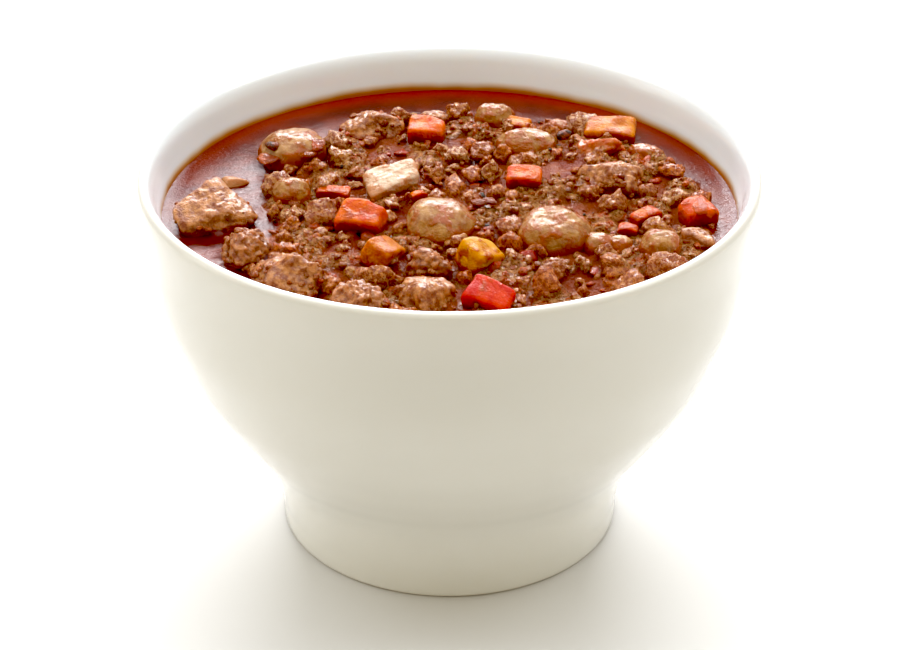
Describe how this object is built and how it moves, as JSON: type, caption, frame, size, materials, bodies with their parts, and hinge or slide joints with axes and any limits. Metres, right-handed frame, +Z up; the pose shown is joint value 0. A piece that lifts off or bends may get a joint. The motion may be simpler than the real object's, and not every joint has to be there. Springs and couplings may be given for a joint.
{
  "type": "bowl of chili con carne",
  "caption": "Footed round porcelain bowl filled with chili con carne: brown-red sauce with beef, mince, beans and diced peppers.",
  "frame": {"origin": "centre of the foot ring, on the surface the bowl stands on", "axes": "+Z up through the centre of the bowl; -Y is the side that the eater faces, +X is to their right"},
  "size_m": [0.13, 0.13, 0.084],
  "materials": {
    "porcelain": "smooth clear glaze over white porcelain",
    "sauce": "wet, oily, brown-red chili sauce with fine mince in it",
    "beef": "stewed beef coated in wet sauce",
    "mince": "crumbly stewed mince, wet",
    "bean": "soft pale-brown bean skin, wet",
    "potato": "boiled potato, wet",
    "tomato": "stewed tomato, wet and translucent",
    "pepper_orange": "cooked pepper flesh, wet and translucent",
    "pepper_amber": "cooked pepper flesh, wet and translucent",
    "pepper_yellow": "cooked pepper flesh, wet and translucent",
    "pepper_red": "cooked pepper flesh, wet and translucent"
  },
  "bodies": {
    "root": {"bowl": "porcelain", "chili": "sauce", "bean_back": "bean", "bean_back_left": "bean", "bean_back_right": "bean", "bean_centre": "bean", "bean_front_right": "bean", "bean_left": "bean", "bean_right": "bean", "beef_back_left": "beef", "beef_front": "beef", "beef_front_left": "beef", "beef_left": "beef", "beef_right": "beef", "mince_front": "mince", "mince_front_left": "mince", "mince_left": "mince", "pepper_amber_back": "pepper_amber", "pepper_amber_left": "pepper_amber", "pepper_orange_back": "pepper_orange", "pepper_orange_left": "pepper_orange", "pepper_orange_mid": "pepper_orange", "pepper_orange_right": "pepper_orange", "pepper_red_front": "pepper_red", "pepper_yellow_front": "pepper_yellow", "potato_centre": "potato", "tomato_right": "tomato"}
  },
  "joints": []
}
